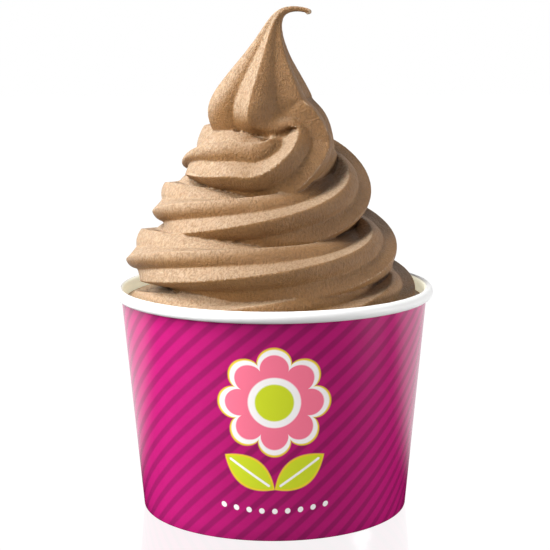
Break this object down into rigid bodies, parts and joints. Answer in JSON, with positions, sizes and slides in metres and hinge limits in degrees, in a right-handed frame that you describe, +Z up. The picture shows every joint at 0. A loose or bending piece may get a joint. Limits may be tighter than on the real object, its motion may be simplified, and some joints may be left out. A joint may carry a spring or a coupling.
{
  "type": "frozen yogurt cup",
  "caption": "Tapered paper cup with a rolled rim and raised bottom, filled with frozen yogurt piped in a tall ridged swirl that ends in a hooked tip.",
  "frame": {"origin": "middle of the cup's foot, in the plane that it stands on", "axes": "+Z up along the cup's axis; the side of the swirl that is shown faces -Y, with the hooked tip towards +X"},
  "size_m": [0.1, 0.1, 0.1565],
  "materials": {
    "cup_wall": "coated board printed in magenta with darker slanting stripes, white rolled rim and cream inside, soft gloss",
    "cup_base": "plain coated board, matt",
    "frozen_yogurt": "light chocolate brown, matt and finely grained like ice"
  },
  "bodies": {
    "root": {"cup_wall": "cup_wall", "cup_base": "cup_base", "frozen_yogurt": "frozen_yogurt"}
  },
  "joints": []
}
